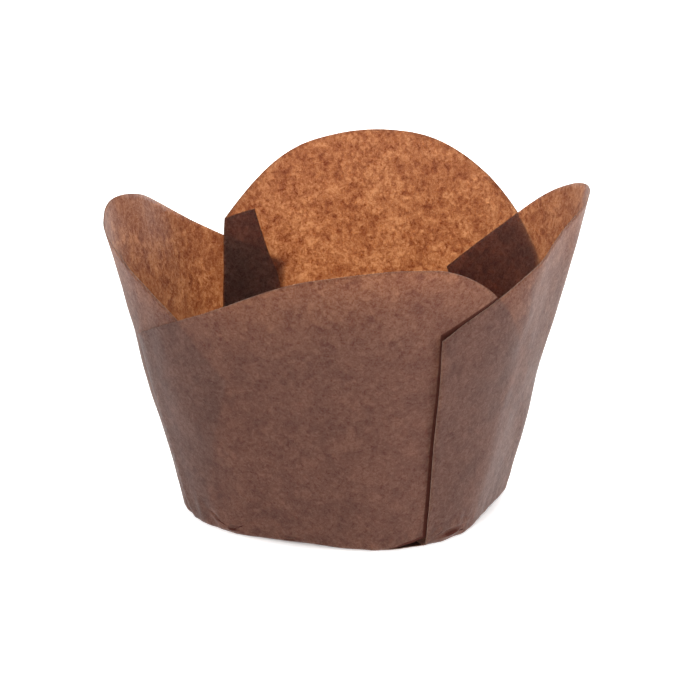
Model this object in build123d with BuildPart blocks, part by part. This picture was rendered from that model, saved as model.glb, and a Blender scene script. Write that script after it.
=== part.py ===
from build123d import *
from math import cos, floor, pi, radians, sin, tan
import os

# A folded paper cupcake liner of the tulip kind: one die-cut sheet whose floor is a square
# with very round corners, and whose four petals stand up around it and lap at the corners.
# Millimetres, +Z up. The origin is the centre of the floor's underside, and the front petal
# faces -Y. Seen from outside, each petal's left end lies outside its neighbour and its right
# end lies inside the next one, so the four laps go round like a pinwheel.

# --- sheet and floor ---
paper = 0.1             # thickness of the sheet
base_width = 50.0       # floor, across its flats
base_corner = 17.6      # radius of the floor's corners
wall_lean = 14.1        # degrees that the walls open from upright
fold_radius = 1.6       # outer radius of the fold between floor and wall
lap_shift = 0.35        # how far each petal sits along its wall, which opens the laps
petal_turn = 16.0       # degrees from a petal's middle to the middle of its whole reach

# --- petals ---
# A place on a wall is (turn, height). The turn is the way round the cup in quarter turns from
# the petal's middle, and is negative towards its outer end. The height is above the floor.
front_petal = {
    "outer root": (-0.50, 0.0), "outer corner": (-0.54, 31.5), "outer shoulder": (0.03, 47.4),
    "crown": (0.34, 51.6), "inner shoulder": (0.62, 46.0), "inner corner": (0.84, 31.0),
    "inner root": (0.65, 0.0),
}
right_petal = {
    "outer root": (-0.481, 0.0), "outer corner": (-0.517, 39.0), "outer shoulder": (-0.30, 45.6),
    "crown": (0.13, 52.7), "inner shoulder": (0.52, 48.2), "inner rim": (0.667, 41.9),
    "inner corner": (0.877, 30.9), "inner root": (0.66, 0.0),
}
back_petal = {
    "outer root": (-0.50, 0.0), "outer corner": (-0.53, 33.0), "outer shoulder": (-0.28, 44.0),
    "crown": (0.08, 52.7), "inner shoulder": (0.42, 47.3), "crease top": (0.612, 38.8),
    "inner root": (0.745, 0.0),
}
left_petal = {
    "outer root": (-0.50, 0.0), "outer corner": (-0.593, 30.6), "outer shoulder": (-0.20, 42.6),
    "crown": (0.17, 50.4), "inner shoulder": (0.50, 45.8), "inner rim": (0.687, 38.6),
    "inner corner": (0.836, 29.4), "inner root": (0.64, 0.0),
}

# --- dog-ear: the back petal's inner end, folded over onto its own inner face ---
flap_gap = 0.35         # clear space between the flap and the wall behind it
flap_foot = 3.0         # height at which the flap starts on the crease
flap_corner = (0.509, 39.7)
flap_elbow = (0.462, 26.1)

# --- worked out from the sizes above ---
half_base = base_width / 2
rise = tan(radians(wall_lean))          # outward travel of the wall for each mm of height
wall_top = 60.0                         # height at which the uncut walls end, above every petal
reach = 2 * (half_base + rise * wall_top)
skin = paper / cos(radians(wall_lean))  # the sheet's thickness, measured level


def wall_place(turn, height):
    """The place (x, y) on the walls' outer face at a turn and a height."""
    side = half_base + rise * height
    corner = base_corner + rise * height
    flat = side - corner
    quarter = 2 * flat + corner * pi / 2
    face = floor(turn + 0.5)
    along = (turn - face) * quarter
    angle = max(abs(along) - flat, 0.0) / corner
    sign = 1 if along >= 0 else -1
    across = min(abs(along), flat) + corner * sin(angle)
    depth = -side + corner * (1 - cos(angle))
    placed = Vector(sign * across, depth).rotate(Axis.Z, 90 * face)
    return placed.X, placed.Y


def on_petal_plane(place):
    """A place on the walls, seen square to the plane on which a petal's outline is drawn."""
    x, y = wall_place(*place)
    return x * cos(radians(petal_turn)) + y * sin(radians(petal_turn)), place[1]


# The plane on which an outline is drawn stands upright and faces the middle of the petal's
# reach, far enough out from the axis to miss the walls past the petal's two ends.
petal_plane = Plane(
    origin=(0, 0, 0),
    x_dir=(cos(radians(petal_turn)), sin(radians(petal_turn)), 0),
    z_dir=(sin(radians(petal_turn)), -cos(radians(petal_turn)), 0),
).offset(half_base / 4)


def wall_block(inset):
    """A solid block the shape of the cup's outside, inset by a distance all over."""
    level = inset / cos(radians(wall_lean)) - rise * inset
    with BuildPart() as block:
        with BuildSketch(Plane.XY.offset(inset)):
            RectangleRounded(base_width - 2 * level, base_width - 2 * level, base_corner - level)
        extrude(amount=wall_top - inset, taper=-wall_lean)
        fillet(block.faces().sort_by(Axis.Z)[0].edges(), fold_radius - inset)
    return block.part


def uncut_wall(inset, depth):
    """Floor and walls with no petals cut, inset from the outer face and so deep."""
    with BuildPart() as wall:
        add(wall_block(inset))
        add(wall_block(inset + depth), mode=Mode.SUBTRACT)
    return wall.part


def cut_sheet(wall, outline):
    """The piece of an uncut wall that lies within an outline on the petal plane."""
    with BuildPart() as sheet:
        add(wall)
        with BuildSketch(petal_plane):
            add(outline)
        extrude(amount=reach, mode=Mode.INTERSECT)
    return sheet.part


def petal_outline(places):
    """A petal seen square: straight side edges and rims, with a round crown between shoulders."""
    points = [on_petal_plane(place) for place in places.values()]
    crown = list(places).index("crown")
    with BuildSketch() as outline:
        with BuildLine():
            Polyline(points[:crown])
            ThreePointArc(points[crown - 1], points[crown], points[crown + 1])
            Polyline(points[crown + 1:])
            Line(points[-1], points[0])
        make_face()
    return outline.sketch


def flap_outlines():
    """The dog-ear seen square, and the narrow strip along its crease where the sheet turns back."""
    head = Vector(*on_petal_plane(back_petal["crease top"]))
    root = Vector(*on_petal_plane(back_petal["inner root"]))
    foot = root + (head - root) * (flap_foot / head.Y)
    turned = Vector(-paper, 0)
    outlines = []
    for points in (
        (foot, head, on_petal_plane(flap_corner), on_petal_plane(flap_elbow)),
        (foot, head, head + turned, foot + turned),
    ):
        with BuildSketch() as outline:
            with BuildLine():
                Polyline(points, close=True)
            make_face()
        outlines.append(outline.sketch)
    return outlines


wall = uncut_wall(0.0, paper)
petals = [
    cut_sheet(wall, petal_outline(places))
    for places in (front_petal, right_petal, back_petal, left_petal)
]

flap_outline, crease_outline = flap_outlines()
flap = cut_sheet(uncut_wall(paper + flap_gap, paper), flap_outline)
crease = cut_sheet(uncut_wall(0.0, paper + flap_gap + paper), crease_outline)

with BuildPart() as back:
    add(petals[2])
    add(flap)
    add(crease)
petals[2] = back.part

with BuildPart() as liner:
    with BuildSketch():
        RectangleRounded(
            base_width - 2 * fold_radius, base_width - 2 * fold_radius, base_corner - fold_radius
        )
    extrude(amount=paper)
    for quarter_turn, petal in enumerate(petals):
        add(petal.moved(Rotation(0, 0, 90 * quarter_turn) * Location((-lap_shift, 0, 0))))

liner.part.label = "liner"
os.makedirs("parts", exist_ok=True)
export_step(liner.part, "parts/liner.step")
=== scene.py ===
# A folded paper cupcake liner, built as one sheet of real thickness around its CAD frame.
import math

import bmesh
import bpy
import numpy as np
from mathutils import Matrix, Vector, noise
from mathutils.geometry import delaunay_2d_cdt


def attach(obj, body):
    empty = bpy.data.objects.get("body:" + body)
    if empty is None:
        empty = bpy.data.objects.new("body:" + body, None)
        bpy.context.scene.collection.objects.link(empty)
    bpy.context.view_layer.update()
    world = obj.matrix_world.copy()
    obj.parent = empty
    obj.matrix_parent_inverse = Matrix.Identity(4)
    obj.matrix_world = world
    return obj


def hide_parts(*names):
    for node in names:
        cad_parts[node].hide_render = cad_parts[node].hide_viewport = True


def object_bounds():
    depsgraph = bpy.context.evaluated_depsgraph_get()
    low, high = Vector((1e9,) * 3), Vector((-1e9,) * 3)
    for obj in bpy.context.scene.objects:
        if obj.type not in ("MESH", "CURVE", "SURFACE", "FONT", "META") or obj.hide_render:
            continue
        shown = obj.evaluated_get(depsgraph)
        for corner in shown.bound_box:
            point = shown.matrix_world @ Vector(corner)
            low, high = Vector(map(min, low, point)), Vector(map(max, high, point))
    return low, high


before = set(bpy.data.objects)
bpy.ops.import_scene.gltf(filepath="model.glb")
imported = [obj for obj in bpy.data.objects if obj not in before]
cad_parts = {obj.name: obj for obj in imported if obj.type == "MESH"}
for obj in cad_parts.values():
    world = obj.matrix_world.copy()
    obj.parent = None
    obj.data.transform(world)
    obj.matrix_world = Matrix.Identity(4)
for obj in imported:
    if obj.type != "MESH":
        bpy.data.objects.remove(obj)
cad_low, cad_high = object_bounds()

# ---------------------------------------------------------------- the sheet's sizes
# Lengths are in units of MM, one millimetre of the frame, worked out from the frame's height.
LINER_HEIGHT = 52.79
MM = (cad_high[2] - cad_low[2]) / LINER_HEIGHT

PAPER = 0.1                # thickness of the sheet
HALF_FLOOR = 25.0          # from the middle of the floor to the fold line of a side
FLOOR_CORNER = 17.6        # radius of the floor's corners
FLAT = HALF_FLOOR - FLOOR_CORNER  # half of the straight stretch of each side
LEAN = math.radians(14.1)  # how far the walls open from upright
SHEET_QUARTER = 52.0       # a quarter turn as it is drawn in the flat outlines
RING_INSET = 5.0           # the petals' mesh starts this far in from the fold line
SLIT_TURN = 0.52           # where a petal's own stretch of the fold line ends
SLIT_GAP = 0.06            # how far short of that its free end is cut
TEAR_TURN = 0.34           # where the front petal comes free of the floor, beside the slit

# ---------------------------------------------------------------- petals
# A place on a wall is (turn, height): quarter turns from the petal's middle, negative towards
# its outer end, and the height above the table. Rims run from outer corner to inner corner.
# "edge lift" is how far the outer side edge stands off its neighbour. A bulge is its place
# (turn, path), its reach both ways and how far out it goes. A crimp is a pinched crease: its
# place (turn, path), half length, half width, tilt and height.
PETALS = {
    "front": {
        "quarter": 0,
        "rim": [(-0.57, 32.0), (-0.40, 36.0), (-0.20, 41.0), (0.03, 47.3), (0.18, 50.0),
                (0.34, 51.5), (0.47, 50.7), (0.58, 47.4), (0.68, 42.5), (0.84, 32.0)],
        "outer side": [(-0.55, 22.0), (-0.52, 8.0)],
        "inner side": [(0.75, 18.0), (0.67, 6.5)],
        "edge lift": 0.35,
        "bulges": [((-0.56, 30.0), (0.14, 17.0), -0.55)],
        "crimps": [((-0.25, 1.35), 1.2, 0.26, 0.10, 0.38), ((-0.19, 2.7), 2.0, 0.36, 0.30, 0.18),
                   ((-0.02, 0.9), 1.6, 0.28, 0.05, 0.20), ((0.10, 0.8), 1.2, 0.26, -0.05, 0.22),
                   ((-0.33, 2.6), 1.2, 0.34, -0.40, 0.20)],
    },
    "right": {
        "quarter": 1,
        "rim": [(-0.525, 39.0), (-0.28, 45.9), (-0.12, 48.6), (0.03, 50.5), (0.16, 52.0),
                (0.28, 52.3), (0.42, 50.6), (0.58, 46.0), (0.72, 39.2), (0.88, 31.0)],
        "outer side": [(-0.505, 20.0), (-0.49, 8.0)],
        "inner side": [(0.77, 17.0), (0.68, 6.0)],
        "edge lift": 0.6,
        "bulges": [((0.15, 44.0), (0.5, 20.0), -0.25)],
        "crimps": [((-0.365, 1.75), 2.4, 0.30, 0.05, 0.42), ((-0.28, 3.0), 1.6, 0.40, -0.2, 0.15),
                   ((-0.44, 2.6), 0.9, 0.32, 0.6, 0.16)],
    },
    "back": {
        "quarter": 2,
        "rim": [(-0.53, 33.5), (-0.40, 38.7), (-0.20, 47.4), (-0.05, 51.9), (0.09, 52.9),
                (0.25, 51.6), (0.40, 48.2), (0.61, 39.0)],
        "outer side": [(-0.525, 20.0), (-0.50, 8.0)],
        "inner side": [(0.67, 24.5), (0.71, 10.0)],
        "edge lift": 0.8,
        "bulges": [],
        "crimps": [],
    },
    "left": {
        "quarter": 3,
        "rim": [(-0.59, 30.6), (-0.40, 35.6), (-0.27, 39.9), (-0.13, 45.0), (0.0, 48.7),
                (0.15, 50.4), (0.33, 49.2), (0.50, 45.9), (0.68, 39.0), (0.84, 29.2)],
        "outer side": [(-0.56, 20.0), (-0.51, 8.0)],
        "inner side": [(0.75, 17.5), (0.66, 5.5)],
        "edge lift": 1.2,
        "bulges": [((0.2, 54.0), (0.5, 8.0), 0.5)],
        "crimps": [],
    },
}
# The dog-ear: the back petal's inner end, turned over along the crease from the rim down.
FLAP = [(0.61, 39.0), (0.51, 39.7), (0.485, 32.5), (0.46, 26.0), (0.52, 17.0), (0.60, 9.0)]
FLAP_FOOT = (0.72, 5.0)
FLAP_ROLL = 0.22           # radius of the dog-ear's fold
FLAP_ROLL_STEPS = 7
FLAP_CURL = 0.35           # how far its free side curls off the wall

# ---------------------------------------------------------------- folds, laps and waves
FOLD_RADIUS = 1.3          # of the fold between floor and wall, at the middle of the paper
FOLD_WAVER = 0.22          # share by which that radius comes and goes along the fold
LAP_IN = 0.34              # how far a petal's inner end steps in behind its neighbour
LAP_OUT = 0.16             # how far its outer end steps out
GATHER = 0.28              # height of the gathers by the fold
GATHER_SIZE = 1.9
# The walls' slack: how far it pushes, the size of its waves, their seed, and the two
# distances up the sheet between which it sets in.
WAVES = [(0.55, 17.0, 3.1, 4.0, 22.0), (0.16, 5.5, 8.4, 2.0, 10.0)]
FLOOR_SWELL = 0.2          # height of the waves in the floor
FLOOR_RINGS = 26
HEM_DEPTH = 3.4            # how far the front petal's lifted foot is turned in
HEM_LEVELS = (0.1, 2.25)   # between these distances up the sheet, its edge is that foot

RIM_STEP = 0.6             # spacing of the points along an outline
COARSE = 0.85              # spacing of the points within a petal
FINE = 0.45                # and close to the fold
FINE_UNTIL = 6.5
CRIMP_STEP = 0.36          # and along a crimp
ROW_SPACING = 0.866        # of rows of even triangles, as a share of their sides

# ---------------------------------------------------------------- drawn shade
# The sheet's map gives each place a turn, with the front petal's middle at 1 and the right
# petal's at 3, and a path, its distance up the sheet in units of SHEET_QUARTER.
FRONT_MIDDLE = 1
PETAL_SPACING = 2
# Where the painted shadow line runs: just outside the right petal's edges on the front petal.
# The right petal's edges as they lie on the front petal. Side edge: its turn at the floor, and
# how that changes with the path. Rim: a place on it (turn, path), its slope, and how many
# millimetres square to it a unit of path is.
SIDE_TURN, SIDE_TILT = 1.512, -0.041
RIM_PLACE, RIM_SLOPE, RIM_SCALE = (1.472, 0.776), 0.565, 45.0
FOOT_SLOPE = 12.5          # how steeply the front petal's lifted foot rises from the tear
HEM_PLACE = (1.45, -1.5 / SHEET_QUARTER)  # a place in the painted shade under that foot
SHADE_STRENGTH = 0.88
# Painted shade in pinched creases by the floor: place (turn, and path in millimetres), half
# length, half width and tilt.
PAINTED_CREASE_SHADE = [((2.635, 1.60), 3.0, 0.30, 0.05), ((2.70, 1.25), 1.0, 0.20, -0.10),
           ((2.575, 2.2), 0.8, 0.16, 0.5), ((0.750, 1.15), 1.3, 0.24, 0.10),
           ((0.785, 1.9), 0.9, 0.16, 0.45), ((0.70, 1.9), 1.0, 0.16, -0.5),
           ((0.98, 0.55), 1.7, 0.20, 0.03), ((1.10, 0.45), 1.3, 0.18, -0.04)]

# ---------------------------------------------------------------- studio
STAGE_SIZE = 2.5           # metres
STAGE_GLOW = 0.62          # light that the stage gives out, away from the liner
DIM_WITHIN, BRIGHT_BEYOND = 23.0, 28.0    # distances from the liner's middle
WORLD_LIGHT = 0.34
LIGHTS_AIM = (0.0, 0.0, 0.03)             # metres
# Soft boxes: place, width and height in metres, and watts.
SOFT_BOXES = {
    "overhead_soft_box": ((0.0, 0.15, 0.95), 1.5, 1.5, 4.5),
    "back_soft_box": ((-0.12, 0.55, 0.05), 0.50, 0.09, 10.3),
    "right_soft_box": ((0.55, -0.05, 0.06), 0.30, 0.30, 4.0),
    "left_soft_box": ((-0.55, -0.08, 0.06), 0.30, 0.30, 3.3),
    "front_soft_box": ((0.12, -0.60, 0.15), 0.40, 0.40, 3.3),
}
VIEW_AZIMUTH, VIEW_ELEVATION = math.radians(20.0), math.radians(20.8)
VIEW_DISTANCE = 650.0
VIEW_LENS = 204.4
AIM_UP, AIM_LEFT = 25.9, 1.35             # where the camera aims, seen from it


# ---------------------------------------------------------------- the wall
def smooth(value, start, end):
    """0 before start, 1 after end, and a smooth rise between."""
    share = np.clip((value - start) / (end - start), 0.0, 1.0)
    return share * share * (3.0 - 2.0 * share)


def section(turn, height):
    """Places on the wall's middle surface, and the level directions that face out there."""
    side = HALF_FLOOR + height * math.tan(LEAN)
    corner = FLOOR_CORNER + height * math.tan(LEAN)
    quarter = 2 * FLAT + corner * math.pi / 2
    face = np.floor(turn + 0.5)
    along = (turn - face) * quarter
    angle = np.sign(along) * np.maximum(np.abs(along) - FLAT, 0.0) / corner
    across = np.clip(along, -FLAT, FLAT) + corner * np.sin(angle)
    depth = -side + corner * (1 - np.cos(angle))
    spin = face * math.pi / 2
    x = across * np.cos(spin) - depth * np.sin(spin)
    y = across * np.sin(spin) + depth * np.cos(spin)
    facing = spin + angle
    return x, y, np.sin(facing), -np.cos(facing)


def fold_profile(path, radius):
    """Out and up from the fold line at a distance along the sheet, which turns up at a radius."""
    swing = math.pi / 2 - LEAN
    tangent = radius * math.tan(swing / 2)
    turned = swing * np.clip((path + tangent) / (2 * tangent), 0.0, 1.0)
    on_floor = np.minimum(path, -tangent)
    on_wall = np.maximum(path, tangent) - tangent
    out = on_floor + radius * np.sin(turned) + on_wall * math.sin(LEAN)
    up = radius * (1 - np.cos(turned)) + on_wall * math.cos(LEAN)
    return out, up


def path_of(height):
    """Distance along the sheet from the fold line to a height on the wall."""
    return height / math.cos(LEAN)


def field(x, y, z, size, seed):
    """Smooth noise between about -1 and 1 at places, with features of a size."""
    return np.array([
        noise.noise(Vector((a / size + seed, b / size - seed, c / size + 2 * seed)))
        for a, b, c in zip(x, y, z)
    ])


def lap_push(petal, turn, path):
    """How far the ends stand off the wall: the inner one in behind its neighbour, the outer one
    out and clear of it."""
    inner = -LAP_IN * smooth(turn, 0.33, 0.47) * smooth(path, -1.0, 1.6)
    outer = LAP_OUT * (1 - smooth(turn, -0.52, -0.34)) * smooth(path, 0.0, 3.5)
    lift = petal["edge lift"] * (1 - smooth(turn, -0.53, -0.455)) * smooth(path, 1.0, 9.0)
    return inner + outer + lift


def slack_push(petal, turn, path, x, y, up):
    """How far the petal's bulges and the sheet's waves stand off the wall."""
    push = np.zeros(len(turn))
    for at, reach, amount in petal["bulges"]:
        off = ((turn - at[0]) / reach[0]) ** 2 + ((path - at[1]) / reach[1]) ** 2
        push = push + amount * np.exp(-off)
    for amount, size, seed, start, full in WAVES:
        push = push + amount * field(x, y, up, size, seed) * smooth(path, start, full)
    return push


def gather_push(turn, path, x, y, up):
    """Gathers where the corners of the fold take up the sheet's spare width."""
    at_corner = smooth(np.abs(turn - np.round(turn)), 0.16, 0.34)
    folds = GATHER * field(x, y, up * 0.25, GATHER_SIZE, 5.7) * (0.35 + at_corner)
    return folds * smooth(path, -2.2, 0.6) * (1 - smooth(path, 1.5, 8.0))


def crimp_push(turn, path, at, long, wide, tilt, height):
    """A short pinched crease in the sheet: a ridge below the line and a groove above it."""
    along = (turn - at[0]) * SHEET_QUARTER
    across = (path - at[1] - tilt * along) / wide
    return height * np.exp(-(along / long) ** 2) * -across * np.exp(0.5 - 0.5 * across ** 2)


def place(petal, turn, path, drop=0.0):
    """Places in space of points of a petal's sheet. drop moves them in from the wall."""
    whole = turn + petal["quarter"]
    waver = np.sin(9.0 * whole + 1.0) * np.sin(23.0 * whole)
    out, up = fold_profile(path, FOLD_RADIUS * (1 + FOLD_WAVER * waver))
    x, y, nx, ny = section(whole, up)
    x = x + nx * (out - up * math.tan(LEAN))
    y = y + ny * (out - up * math.tan(LEAN))
    push = lap_push(petal, turn, path) + slack_push(petal, turn, path, x, y, up)
    push = push + gather_push(turn, path, x, y, up)
    for crimp in petal["crimps"]:
        push = push + crimp_push(turn, path, *crimp)
    push = push - drop
    x = x + nx * push * math.cos(LEAN)
    y = y + ny * push * math.cos(LEAN)
    z = up - push * math.sin(LEAN) * smooth(path, 0.0, 2.0) + PAPER / 2
    return np.stack([x, y, np.maximum(z, PAPER / 2)], axis=1) * MM


# ---------------------------------------------------------------- outlines and their filling
def flat_points(places):
    """Places (turn, height) as points of the flat outline."""
    return [(turn * SHEET_QUARTER, path_of(height)) for turn, height in places]


def walk(points):
    """Points at even steps along straight runs."""
    points = [np.array(point) for point in points]
    steps = []
    for start, end in zip(points, points[1:]):
        count = max(1, round(float(np.linalg.norm(end - start)) / RIM_STEP))
        steps += [start + (end - start) * k / count for k in range(count)]
    return steps + [points[-1]]


def curve(points):
    """A smooth curve through the points, at even steps (Catmull-Rom)."""
    points = [np.array(point) for point in points]
    ends = [2 * points[0] - points[1]] + points + [2 * points[-1] - points[-2]]
    steps = []
    for a, b, c, d in zip(ends, ends[1:], ends[2:], ends[3:]):
        count = max(1, round(float(np.linalg.norm(c - b)) / RIM_STEP))
        for k in range(count):
            s = k / count
            bend = (2 * a - 5 * b + 4 * c - d) * s ** 2 + (3 * b - a - 3 * c + d) * s ** 3
            steps.append(0.5 * (2 * b + (c - a) * s + bend))
    return steps + [points[-1]]


def foot_runs(name):
    """The free end of a petal beside its slit, from the ring round the floor to its inner side.
    The front petal also comes free along the fold, where its foot lifts off the floor."""
    end = SLIT_TURN * SHEET_QUARTER
    slit = end - SLIT_GAP
    start = (slit, -RING_INSET + 0.7)
    if name == "front":
        tear = TEAR_TURN * SHEET_QUARTER
        on_floor = [start, (slit, -0.35), (tear, -0.12)]
        lifted = [(tear + 0.35, 0.12), (end - 3.5, 1.0), (end, 1.85), (end + 5.0, 2.3)]
        return walk(on_floor) + walk(lifted)
    return walk([start, (slit, 0.4), (end + 4.5, 1.2)])


def petal_outline(name, petal):
    """The closed flat outline of a petal, from the ring round the floor to its rim, and how
    many of its points are on that ring."""
    start, end = (SLIT_TURN - 1) * SHEET_QUARTER, SLIT_TURN * SHEET_QUARTER
    count = round((end - start) / RIM_STEP)
    outline = [np.array((start + (end - start) * k / count, -RING_INSET)) for k in range(count + 1)]
    rim = flat_points(petal["rim"])
    outline += foot_runs(name)
    outline += walk(flat_points(petal["inner side"])[::-1] + [rim[-1]])[:-1]
    outline += curve(rim[::-1])
    outer = flat_points(petal["outer side"])
    outline += walk([rim[0]] + outer + [(start, -0.2), (start, -RING_INSET + 0.7)])[1:]
    return outline, count + 1


def inside(points, outline):
    """Which points lie within a closed outline."""
    x, y = points[:, 0:1], points[:, 1:2]
    x0, y0 = outline[:, 0], outline[:, 1]
    x1, y1 = np.roll(x0, -1), np.roll(y0, -1)
    crosses = ((y0 > y) != (y1 > y)) & (x < (x1 - x0) * (y - y0) / (y1 - y0 + 1e-12) + x0)
    return crosses.sum(axis=1) % 2 == 1


def nearest(points, others):
    """How far each point is from the nearest of the others."""
    return np.linalg.norm(points[:, None] - others[None], axis=2).min(axis=1)


def staggered(outline, step, bottom, top):
    """Points within a closed outline, in staggered rows between two levels."""
    left, right = outline[:, 0].min(), outline[:, 0].max()
    rows = []
    for number, row in enumerate(np.arange(bottom + step / 2, top, step * ROW_SPACING)):
        shift = step / 2 if number % 2 else 0.0
        columns = np.arange(left + shift, right, step)
        points = np.stack([columns, np.full(len(columns), row)], axis=1)
        rows.append(points[inside(points, outline) & (nearest(points, outline) > 0.62 * step)])
    return rows


def crimp_points(at, long, wide, tilt, height):
    """Points close together about a crimp."""
    along, across = np.meshgrid(np.arange(-2 * long, 2 * long, CRIMP_STEP),
                                np.arange(-3 * wide, 3.01 * wide, wide / 2))
    return np.stack([at[0] * SHEET_QUARTER + along.ravel(),
                     at[1] + (across + tilt * along).ravel()], axis=1)


def fill(outline, crimps=()):
    """Triangles that fill a closed outline: their corners, faces and which corner each point
    of the outline became."""
    outline = np.array(outline)
    low, high = outline[:, 1].min(), outline[:, 1].max()
    inner = staggered(outline, FINE, low, min(FINE_UNTIL, high))
    inner += staggered(outline, COARSE, max(FINE_UNTIL, low), high)
    for crimp in crimps:
        near = crimp_points(*crimp)
        inner = [kept[nearest(kept, near) > 0.3] for kept in inner]
        inner.append(near[inside(near, outline) & (nearest(near, outline) > 0.2)])
    points = np.concatenate([outline] + inner)
    edges = [(k, (k + 1) % len(outline)) for k in range(len(outline))]
    filled = delaunay_2d_cdt([Vector(point) for point in points], edges, [], 1, 1e-5)
    corners, _, faces, origins, _, _ = filled
    became = {source: index for index, sources in enumerate(origins) for source in sources}
    return np.array([tuple(corner) for corner in corners]), faces, became


# ---------------------------------------------------------------- the sheet
def add_part(mesh, points, faces, flat=None):
    """Adds corners and faces to a growing mesh, and returns the new corners. flat gives each
    corner's place on the sheet's map, by which the drawn shade is laid."""
    corners = [mesh.verts.new(point) for point in points]
    sheet_map = mesh.loops.layers.uv.verify()
    for face in faces:
        if len(set(face)) == 3:
            made = mesh.faces.new([corners[k] for k in face])
            if flat is not None:
                for loop, k in zip(made.loops, face):
                    loop[sheet_map].uv = flat[k]
    return corners


def add_bands(mesh, rows):
    """Adds the faces between rows of corners, and returns them."""
    made = []
    for a, b in zip(rows, rows[1:]):
        for k in range(len(a) - 1):
            made.append(mesh.faces.new((a[k], b[k], b[k + 1], a[k + 1])))
    return made


def add_floor(mesh):
    """The floor within the petals' ring, as rings that shrink to the middle."""
    count = 4 * round(SHEET_QUARTER / RIM_STEP)
    turns = SLIT_TURN - 1 + np.arange(count) * 4.0 / count
    x, y, nx, ny = section(turns, np.zeros(count))
    rim = np.stack([x - nx * RING_INSET, y - ny * RING_INSET], axis=1)
    rings = []
    for share in np.linspace(1.0, 0.08, FLOOR_RINGS):
        waves = field(rim[:, 0] * share, rim[:, 1] * share, np.zeros(count), 9.0, 2.2)
        z = PAPER / 2 + np.maximum(FLOOR_SWELL * waves * (1 - share), 0.0)
        rings.append([mesh.verts.new(v) for v in np.column_stack([rim * share, z]) * MM])
    for outer, inner in zip(rings, rings[1:]):
        for k in range(count):
            n = (k + 1) % count
            mesh.faces.new((outer[k], outer[n], inner[n], inner[k]))
    mesh.faces.new(rings[-1])
    return rings[0]


def add_flap(mesh, petal, crease_corners, crease_flat):
    """The dog-ear: a rolled fold along the crease and the turned-over end of the sheet."""
    crease_turn, crease_path = crease_flat[:, 0] / SHEET_QUARTER, crease_flat[:, 1]
    free = curve(flat_points(FLAP[1:] + [FLAP_FOOT]))
    outline = list(crease_flat)                           # from the foot up to the rim
    outline += walk([outline[-1], free[0]])[1:-1]
    outline += free[:-1]
    corners, faces, became = fill(outline)
    turn, path = corners[:, 0] / SHEET_QUARTER, corners[:, 1]
    width = (np.interp(path, crease_path, crease_turn) - turn) * SHEET_QUARTER
    drop = 2 * FLAP_ROLL + 0.05 * width + 0.5 * smooth(width, 3.0, 12.0)
    drop = drop + FLAP_CURL * smooth(width, 5.0, 9.5)
    drop = drop + 0.13 * width * smooth(-path, -40.0, -22.0)
    flap = add_part(mesh, place(petal, turn, path, drop), faces)
    # the roll joins the petal's crease to the flap's along half a turn
    rows = [crease_corners]
    for k in range(1, FLAP_ROLL_STEPS):
        angle = math.pi * k / FLAP_ROLL_STEPS
        bulge = FLAP_ROLL * math.sin(angle) / SHEET_QUARTER
        sunk = FLAP_ROLL * (1 - math.cos(angle))
        points = place(petal, crease_turn + bulge, crease_path, sunk)
        rows.append([mesh.verts.new(point) for point in points])
    rows.append([flap[became[k]] for k in range(len(crease_flat))])
    add_bands(mesh, rows)


def add_hem(mesh, petal, corners, flat):
    """The foot of the front petal's free end, turned in and down behind its lifted edge."""
    edge = np.array([tuple(corner.co) for corner in corners])
    _, _, nx, ny = section(flat[:, 0] / SHEET_QUARTER + petal["quarter"], flat[:, 1])
    low = np.minimum(edge[:, 2], 2.5 * PAPER * MM)
    rows = [corners]
    for share in (0.2, 0.4, 0.6, 0.8, 1.0):
        x = edge[:, 0] - nx * HEM_DEPTH * share * MM
        y = edge[:, 1] - ny * HEM_DEPTH * share * MM
        z = edge[:, 2] * (1 - share ** 2) + low * share ** 2
        rows.append([mesh.verts.new(point) for point in np.stack([x, y, z], axis=1)])
    # Every hem face is mapped to HEM_PLACE, so the hem takes the painted shade under the foot.
    sheet_map = mesh.loops.layers.uv.verify()
    for made in add_bands(mesh, rows):
        for loop in made.loops:
            loop[sheet_map].uv = HEM_PLACE


def add_petal(mesh, name, petal):
    """A petal with its hem or dog-ear. Returns its corners on the ring round the floor."""
    outline, on_ring = petal_outline(name, petal)
    corners, faces, became = fill(outline, petal["crimps"])
    turns, path = corners[:, 0] / SHEET_QUARTER, corners[:, 1]
    across_map = turns + PETAL_SPACING * petal["quarter"] + FRONT_MIDDLE
    on_map = np.stack([across_map, path / SHEET_QUARTER], axis=1)
    new = add_part(mesh, place(petal, turns, path), faces, on_map)
    flat = np.array(outline)
    if name == "front":
        free = flat[:, 0] > TEAR_TURN * SHEET_QUARTER + 0.3
        foot = np.flatnonzero(free & (flat[:, 1] > HEM_LEVELS[0]) & (flat[:, 1] < HEM_LEVELS[1]))
        add_hem(mesh, petal, [new[became[k]] for k in foot], flat[foot])
    if name == "back":
        foot, head = np.array(flat_points([FLAP_FOOT, FLAP[0]]))
        first = int(np.argmin(np.linalg.norm(flat - foot, axis=1)))
        last = int(np.argmin(np.linalg.norm(flat - head, axis=1)))
        crease = range(first, last + 1)
        add_flap(mesh, petal, [new[became[k]] for k in crease], flat[first:last + 1])
    return [new[became[k]] for k in range(on_ring)]


def build_sheet():
    """The whole liner as one mesh of the sheet's middle surface."""
    mesh = bmesh.new()
    shared = list(add_floor(mesh))
    for name, petal in PETALS.items():
        shared += add_petal(mesh, name, petal)
    bmesh.ops.remove_doubles(mesh, verts=shared, dist=0.02 * MM)
    bmesh.ops.recalc_face_normals(mesh, faces=mesh.faces)
    return mesh


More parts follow.
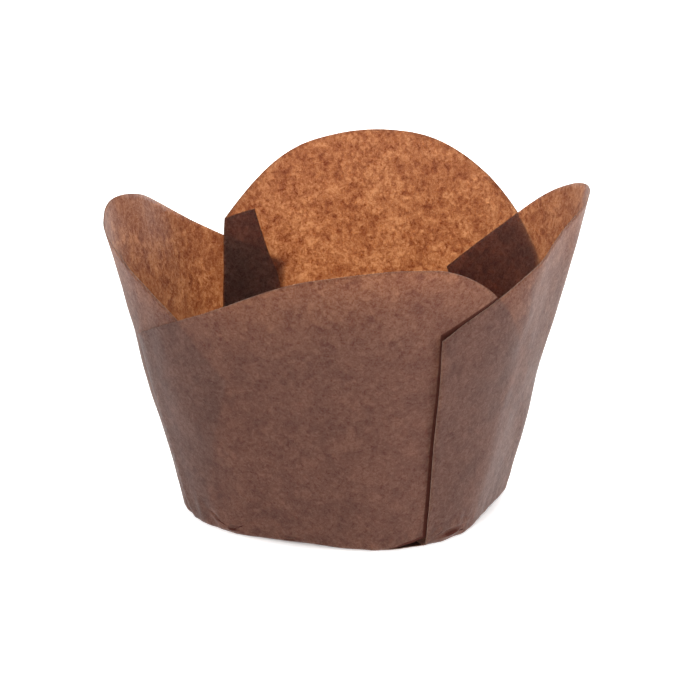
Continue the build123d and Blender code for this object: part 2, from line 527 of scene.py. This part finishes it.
def make_liner():
    """The liner as one object: the sheet with its thickness and its cut edge."""
    sheet = build_sheet()
    data = bpy.data.meshes.new("paper_sheet")
    sheet.to_mesh(data)
    sheet.free()
    liner = bpy.data.objects.new("paper_liner", data)
    bpy.context.scene.collection.objects.link(liner)
    data.materials.append(paper_material())
    data.materials.append(edge_material())
    thick = liner.modifiers.new("thickness", "SOLIDIFY")
    thick.thickness = PAPER * MM
    thick.offset = 0.0
    thick.material_offset_rim = 1
    bpy.context.view_layer.objects.active = liner
    bpy.ops.object.modifier_apply(modifier="thickness")
    for polygon in liner.data.polygons:
        polygon.use_smooth = True
    return liner


# ---------------------------------------------------------------- shader nodes
def node(tree, kind, links=None, **values):
    """A shader node with its inputs set or linked by name, and its own settings by name."""
    made = tree.nodes.new(kind)
    for name, value in values.items():
        setattr(made, name, value)
    for name, value in (links or {}).items():
        socket = made.inputs[name]
        if isinstance(value, bpy.types.NodeSocket):
            tree.links.new(value, socket)
        else:
            socket.default_value = value
    return made


def compute(tree, operation, *values):
    """The result of a Math node's operation on values or sockets."""
    made = node(tree, "ShaderNodeMath", dict(enumerate(values)), operation=operation)
    return made.outputs["Value"]


def combine(tree, first, by_first, second, by_second, plus):
    """A weighted sum of two values."""
    part = compute(tree, "MULTIPLY_ADD", first, by_first, plus)
    return compute(tree, "MULTIPLY_ADD", second, by_second, part)


def banded(tree, value, start, full, until, end):
    """A value's band: 0 up to start, 1 from full until another value, and 0 again from its end."""
    up = node(tree, "ShaderNodeMapRange", {"Value": value, "From Min": start, "From Max": full})
    down = node(tree, "ShaderNodeMapRange", {"Value": value, "From Min": end, "From Max": until})
    return compute(tree, "MULTIPLY", up.outputs["Result"], down.outputs["Result"])


def speckle(tree, fineness, detail, roughness, distortion):
    """Noise in the object's own space, with so many features to a millimetre."""
    coords = node(tree, "ShaderNodeTexCoord").outputs["Object"]
    return node(tree, "ShaderNodeTexNoise", {
        "Vector": coords, "Scale": fineness / MM, "Detail": detail,
        "Roughness": roughness, "Distortion": distortion}).outputs["Fac"]


def blend(tree, factor, a, b):
    """A mix of two values."""
    return node(tree, "ShaderNodeMix", {"Factor": factor, "A": a, "B": b}).outputs["Result"]


def layered(tree, factor, under, over):
    """A mix of two shaders."""
    mix = node(tree, "ShaderNodeMixShader", {"Fac": factor})
    tree.links.new(under, mix.inputs[1])
    tree.links.new(over, mix.inputs[2])
    return mix.outputs["Shader"]


def ramp(tree, factor, stops):
    """The colour that a factor picks from stops (position, colour)."""
    made = node(tree, "ShaderNodeValToRGB", {"Fac": factor})
    elements = made.color_ramp.elements
    while len(elements) < len(stops):
        elements.new(0.5)
    for element, (position, colour) in zip(elements, stops):
        element.position = position
        element.color = (*colour, 1.0)
    return made.outputs["Color"]


# ---------------------------------------------------------------- materials
def seam_shadow_line(tree, turn, path):
    """The painted shadow line on the front petal, just outside the edges of the right petal on it."""
    beside = combine(tree, turn, -SHEET_QUARTER, path, SIDE_TILT * SHEET_QUARTER,
                     SIDE_TURN * SHEET_QUARTER)
    above = combine(tree, turn, -RIM_SLOPE * RIM_SCALE, path, RIM_SCALE,
                    (RIM_SLOPE * RIM_PLACE[0] - RIM_PLACE[1]) * RIM_SCALE)
    return banded(tree, compute(tree, "MAXIMUM", beside, above), -1.0, -0.7, 0.10, 0.32)


def foot_shade(tree, turn, path):
    """Painted shade on the strip of floor under the front petal's lifted foot."""
    tear, slit = FRONT_MIDDLE + TEAR_TURN, FRONT_MIDDLE + SLIT_TURN
    along = banded(tree, turn, tear + 0.005, tear + 0.04, slit + 0.01, slit + 0.03)
    level = compute(tree, "MULTIPLY", path, SHEET_QUARTER)
    on_floor = banded(tree, level, -5.0, -3.0, 4.0, 5.0)
    over_edge = combine(tree, turn, -FOOT_SLOPE, path, SHEET_QUARTER, FOOT_SLOPE * (tear - 0.005))
    below_foot = banded(tree, over_edge, -30.0, -20.0, -0.1, 0.1)
    return compute(tree, "MULTIPLY", compute(tree, "MULTIPLY", along, below_foot), on_floor)


def crease_shade(tree, turn, path, at, length, width, tilt):
    """Painted shade along one pinched crease."""
    across = combine(tree, turn, -tilt * SHEET_QUARTER, path, SHEET_QUARTER,
                     tilt * SHEET_QUARTER * at[0] - at[1])
    level = banded(tree, across, -width, -0.4 * width, 0.4 * width, width)
    end = length / SHEET_QUARTER
    run = banded(tree, turn, at[0] - end, at[0] - 0.4 * end, at[0] + 0.5 * end, at[0] + end)
    return compute(tree, "MULTIPLY", level, run)


def drawn_shade(tree):
    """The mask of painted shade: a painted shadow along the laps' edges, and painted shade under the
    lifted foot and in the creases.
    """
    on_map = node(tree, "ShaderNodeUVMap").outputs["UV"]
    parts = node(tree, "ShaderNodeSeparateXYZ", {"Vector": on_map})
    turn, path = parts.outputs["X"], parts.outputs["Y"]
    dark = compute(tree, "MAXIMUM", seam_shadow_line(tree, turn, path), foot_shade(tree, turn, path))
    for crease in PAINTED_CREASE_SHADE:
        dark = compute(tree, "MAXIMUM", dark, crease_shade(tree, turn, path, *crease))
    return compute(tree, "MULTIPLY", dark, SHADE_STRENGTH)


def paper_material():
    """Brown greaseproof paper: dull from outside, and orange where light comes through it, with
    painted shade mixed over it along the laps' edges, under the lifted foot and in the creases.
    """
    material = bpy.data.materials.new("brown_greaseproof_paper")
    material.use_nodes = True
    tree = material.node_tree
    tree.nodes.clear()
    clouds = speckle(tree, 0.24, 3.0, 0.6, 0.5)
    flocks = speckle(tree, 1.0, 4.0, 0.65, 0.7)
    fibres = speckle(tree, 2.4, 3.0, 0.7, 1.0)
    density = blend(tree, 0.40, blend(tree, 0.66, clouds, flocks), fibres)
    through = ramp(tree, density, [
        (0.39, (0.35, 0.135, 0.047)), (0.50, (0.56, 0.315, 0.170)), (0.60, (0.78, 0.51, 0.32))])
    back = ramp(tree, density, [
        (0.40, (0.086, 0.041, 0.032)), (0.50, (0.111, 0.056, 0.043)), (0.60, (0.145, 0.077, 0.060))])

    bump = node(tree, "ShaderNodeBump", {"Strength": 0.25, "Distance": 0.05 * MM, "Height": density})
    relief = bump.outputs["Normal"]
    surface = node(tree, "ShaderNodeBsdfPrincipled", {
        "Base Color": back, "Roughness": 0.82, "Specular IOR Level": 0.18,
        "Sheen Weight": 0.30, "Sheen Roughness": 0.4, "Normal": relief})
    glow = node(tree, "ShaderNodeBsdfTranslucent", {"Color": through, "Normal": relief})
    # The colour of the painted shade.
    shade = node(tree, "ShaderNodeBsdfDiffuse", {"Color": (0.045, 0.013, 0.009, 1.0)})
    paper = layered(tree, 0.5, surface.outputs["BSDF"], glow.outputs["BSDF"])
    # The painted shade is mixed over the paper wherever the drawn-shade mask is high.
    shaded = layered(tree, drawn_shade(tree), paper, shade.outputs["BSDF"])
    out = node(tree, "ShaderNodeOutputMaterial")
    tree.links.new(shaded, out.inputs["Surface"])
    return material


def edge_material():
    """The sheet's cut edge, which no light comes through."""
    material = bpy.data.materials.new("paper_cut_edge")
    material.use_nodes = True
    tree = material.node_tree
    surface = tree.nodes["Principled BSDF"]
    fibres = speckle(tree, 1.8, 2.0, 0.5, 0.0)
    colour = ramp(tree, fibres, [(0.35, (0.12, 0.075, 0.055)), (0.65, (0.30, 0.20, 0.15))])
    tree.links.new(colour, surface.inputs["Base Color"])
    surface.inputs["Roughness"].default_value = 0.9
    surface.inputs["Specular IOR Level"].default_value = 0.2
    return material


def stage_material():
    """A pale matt floor that gives out some light of its own, but none under the liner."""
    material = bpy.data.materials.new("pale_floor")
    material.use_nodes = True
    tree = material.node_tree
    surface = tree.nodes["Principled BSDF"]
    surface.inputs["Base Color"].default_value = (0.9, 0.9, 0.9, 1.0)
    surface.inputs["Roughness"].default_value = 0.9
    surface.inputs["Specular IOR Level"].default_value = 0.1
    surface.inputs["Emission Color"].default_value = (1.0, 1.0, 1.0, 1.0)
    coords = node(tree, "ShaderNodeTexCoord").outputs["Object"]
    reach = node(tree, "ShaderNodeTexGradient", {"Vector": coords}, gradient_type="SPHERICAL")
    glow = ramp(tree, reach.outputs["Fac"], [
        (1 - BRIGHT_BEYOND * MM, (STAGE_GLOW, STAGE_GLOW, STAGE_GLOW)),
        (1 - DIM_WITHIN * MM, (0.0, 0.0, 0.0))])
    tree.links.new(glow, surface.inputs["Emission Strength"])
    return material


# ---------------------------------------------------------------- stage, light and camera
def plain_stage():
    """A wide pale floor, half the paper's thickness below the liner."""
    bpy.ops.mesh.primitive_plane_add(size=STAGE_SIZE, location=(0, 0, -PAPER / 2 * MM))
    floor = bpy.context.object
    floor.name = "floor"
    floor.data.materials.append(stage_material())


def soft_box(name, location, width, height, power):
    """A soft light that faces the liner."""
    lamp = bpy.data.lights.new(name, "AREA")
    lamp.shape = "RECTANGLE"
    lamp.size, lamp.size_y = width, height
    lamp.energy = power
    holder = bpy.data.objects.new(name, lamp)
    bpy.context.scene.collection.objects.link(holder)
    holder.location = location
    holder.rotation_euler = (Vector(LIGHTS_AIM) - Vector(location)).to_track_quat("-Z", "Y").to_euler()


def lights():
    """An even white surrounding and the soft boxes."""
    world = bpy.data.worlds.new("studio")
    bpy.context.scene.world = world
    world.use_nodes = True
    background = world.node_tree.nodes["Background"]
    background.inputs["Color"].default_value = (1.0, 1.0, 1.0, 1.0)
    background.inputs["Strength"].default_value = WORLD_LIGHT
    for name, (location, width, height, power) in SOFT_BOXES.items():
        soft_box(name, location, width, height, power)


def camera():
    """A long lens at the height and side that the object is seen from."""
    lens = bpy.data.cameras.new("camera")
    lens.sensor_width = 36.0
    lens.lens = VIEW_LENS
    lens.clip_start, lens.clip_end = 0.01, 10.0
    sin_a, cos_a = math.sin(VIEW_AZIMUTH), math.cos(VIEW_AZIMUTH)
    sin_e, cos_e = math.sin(VIEW_ELEVATION), math.cos(VIEW_ELEVATION)
    eye = Vector((sin_a * cos_e, -cos_a * cos_e, sin_e)) * VIEW_DISTANCE * MM
    right = Vector((cos_a, sin_a, 0.0))
    up = Vector((-sin_a * sin_e, cos_a * sin_e, cos_e))
    target = up * AIM_UP * MM - right * AIM_LEFT * MM
    holder = bpy.data.objects.new("camera", lens)
    bpy.context.scene.collection.objects.link(holder)
    holder.location = eye
    holder.rotation_euler = (target - eye).to_track_quat("-Z", "Y").to_euler()
    bpy.context.scene.camera = holder


# ---------------------------------------------------------------- making it
camera()
lights()
plain_stage()
bpy.context.scene.view_settings.view_transform = "Standard"

liner = make_liner()
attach(liner, "root")
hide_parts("liner")
